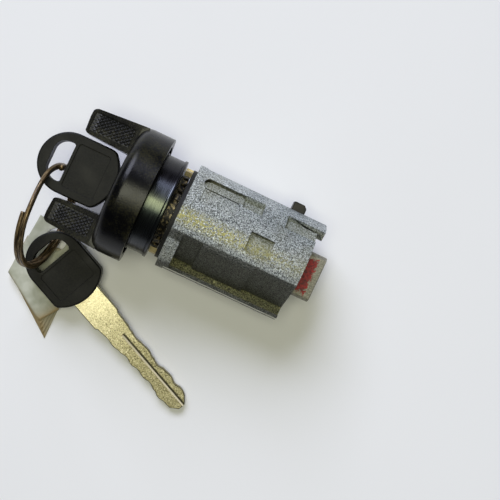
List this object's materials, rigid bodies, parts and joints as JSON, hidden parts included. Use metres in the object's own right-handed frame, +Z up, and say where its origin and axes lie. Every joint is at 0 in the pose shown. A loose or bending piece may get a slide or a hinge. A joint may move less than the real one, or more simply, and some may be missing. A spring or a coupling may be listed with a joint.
{
  "type": "ignition lock cylinder",
  "caption": "Key-operated ignition lock cylinder with winged black knob, die-cast housing, sprung retainer pin, drive tang, keys on a split ring and a folded paper tag.",
  "frame": {"origin": "on the lock axis at the front face of the housing's full-round land", "axes": "+X along the lock from the knob towards the drive tang, level with the bench; +Z up from the bench the part lies on"},
  "size_m": [0.0868, 0.0729, 0.0385],
  "materials": {
    "cast_zinc": "as-cast, grainy, dull",
    "plated_zinc": "dull plated casting with a dab of red paint",
    "black_plastic": "moulded, satin, worn smooth",
    "black_moulding": "moulded, matt",
    "dark_chrome": "glossy black with a faint rainbow sheen",
    "brass": "dull",
    "nickel_silver": "worn, yellowish",
    "bronzed_steel": "tarnished brown",
    "spring_steel": "plain",
    "paper": "soft, creased, stained"
  },
  "bodies": {
    "barrel": {"housing": "cast_zinc", "contact_carrier": "black_moulding", "contact_pins": "brass", "retainer_spring": "spring_steel"},
    "retainer": {"retainer_pin": "bronzed_steel"},
    "rotor": {"rotor": "cast_zinc", "tumblers": "brass", "detent_ring": "bronzed_steel", "rear_clip": "spring_steel", "drive_tang": "plated_zinc", "collar": "dark_chrome", "knob": "black_plastic", "keyway_plate": "spring_steel"},
    "key": {"key_blade": "nickel_silver", "key_head": "black_plastic", "split_ring": "bronzed_steel", "spare_blade": "nickel_silver", "spare_head": "black_plastic", "tag": "paper"}
  },
  "joints": [
    {"name": "rotor_turn", "type": "hinge", "parent": "barrel", "child": "rotor", "pos_m": [0, 0, 0], "axis": [0.9973, 0, -0.0741], "range_deg": [-30, 80]},
    {"name": "key_withdraw", "type": "slide", "parent": "rotor", "child": "key", "axis": [-0.9973, 0, 0.0741], "range_m": [0, 0.05]},
    {"name": "retainer_press", "type": "slide", "parent": "barrel", "child": "retainer", "axis": [0, -1, 0], "range_m": [0, 0.0024], "stiffness_N_per_m": 600, "springref_m": -0.001, "deforming": ["retainer_spring"]}
  ]
}
